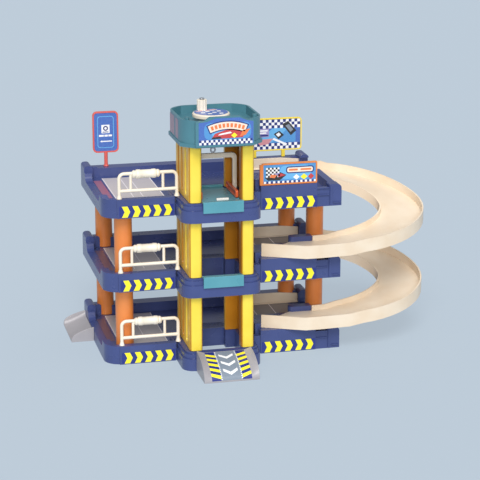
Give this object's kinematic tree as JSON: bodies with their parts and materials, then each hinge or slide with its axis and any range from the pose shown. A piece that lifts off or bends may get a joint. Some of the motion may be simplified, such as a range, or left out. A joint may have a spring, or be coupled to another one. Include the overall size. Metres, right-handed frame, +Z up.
{
  "type": "toy parking garage",
  "caption": "Toy parking garage: stacked decks with a hand-cranked car lift in a tower and curved ramps for cars to roll down.",
  "frame": {"origin": "on the ground, on the underside of the lift tower's front rim, midway across the tower", "axes": "+X runs right along the front towards the curved ramps, +Y runs from the front to the back, +Z is up"},
  "size_m": [0.4914, 0.2991, 0.3522],
  "materials": {
    "deck": "moulded blue plastic, satin gloss",
    "lift_trim": "moulded teal plastic, satin gloss",
    "tower": "moulded yellow plastic, satin gloss",
    "pillar": "moulded orange plastic, satin gloss",
    "sign_plate": "moulded plastic plate with a printed sticker",
    "cream": "moulded cream plastic, satin gloss",
    "ramp_cream": "moulded cream plastic, satin gloss",
    "grey_ramp": "moulded grey plastic, satin gloss",
    "red_sign": "moulded red plastic with a printed sticker",
    "guard": "moulded orange plastic, satin gloss",
    "white_trim": "moulded white plastic",
    "steel": "plated steel pins and screws",
    "cord": "thin braided cord"
  },
  "bodies": {
    "garage": {"deck_1": "deck", "deck_2": "deck", "deck_3": "deck", "lift_ring_1": "deck", "lift_ring_2": "deck", "lift_ring_3": "deck", "shaft_sill_2": "lift_trim", "shaft_sill_3": "lift_trim", "tower_panel_left_1": "tower", "tower_panel_right_1": "tower", "tower_panel_left_2": "tower", "tower_panel_right_2": "tower", "tower_panel_left_3": "tower", "tower_panel_right_3": "tower", "pillar_left_back_1": "pillar", "pillar_left_front_1": "pillar", "pillar_right_back_1": "pillar", "pillar_right_front_1": "pillar", "pillar_left_back_2": "pillar", "pillar_left_front_2": "pillar", "pillar_right_back_2": "pillar", "pillar_right_front_2": "pillar", "head_shell": "lift_trim", "head_sign": "sign_plate", "roller_axle": "steel", "roller_bracket": "lift_trim", "cord_lead": "cord", "lift_cord": "cord", "gate_1": "cream", "gate_2": "cream", "gate_3": "cream", "parking_sign": "red_sign", "back_billboard": "tower", "front_billboard": "guard", "curved_ramp_1": "ramp_cream", "curved_ramp_2": "ramp_cream", "lane_guide": "ramp_cream", "lane_guide_2": "ramp_cream", "lane_guide_3": "ramp_cream", "entry_ramp": "grey_ramp", "exit_ramp": "grey_ramp"},
    "lift": {"lift_platform": "lift_trim", "guard_rail_left": "guard", "guard_rail_right": "guard", "cage_hoop": "cream", "cage_eyelet": "steel", "car_stop": "white_trim"},
    "crank": {"crank_dial": "cream", "knob_screw": "steel", "winding_drum": "cream", "drum_screw": "steel", "cord_coil": "cord"},
    "knob": {"crank_knob": "cream"},
    "roller": {"guide_roller": "cream"}
  },
  "joints": [
    {"name": "lift_travel", "type": "slide", "parent": "garage", "child": "lift", "axis": [0, 0, 1], "range_m": [-0.2, 0], "deforming": ["lift_cord"]},
    {"name": "crank_turn", "type": "hinge", "parent": "garage", "child": "crank", "pos_m": [-0.006, 0.03855, 0.3333], "axis": [0, 0, 1], "range_deg": [0, 1640]},
    {"name": "knob_spin", "type": "hinge", "parent": "crank", "child": "knob", "pos_m": [-0.01497, 0.05252, 0.3433], "axis": [0, 0, 1], "continuous": true},
    {"name": "roller_turn", "type": "hinge", "parent": "garage", "child": "roller", "pos_m": [0.001, 0.05425, 0.3096], "axis": [1, 0, 0], "range_deg": [-2345, 0]}
  ],
  "couplings": [
    {"joint": "crank_turn", "follows": "lift_travel", "rad_per_m": -142.86},
    {"joint": "roller_turn", "follows": "lift_travel", "rad_per_m": 204.08}
  ]
}
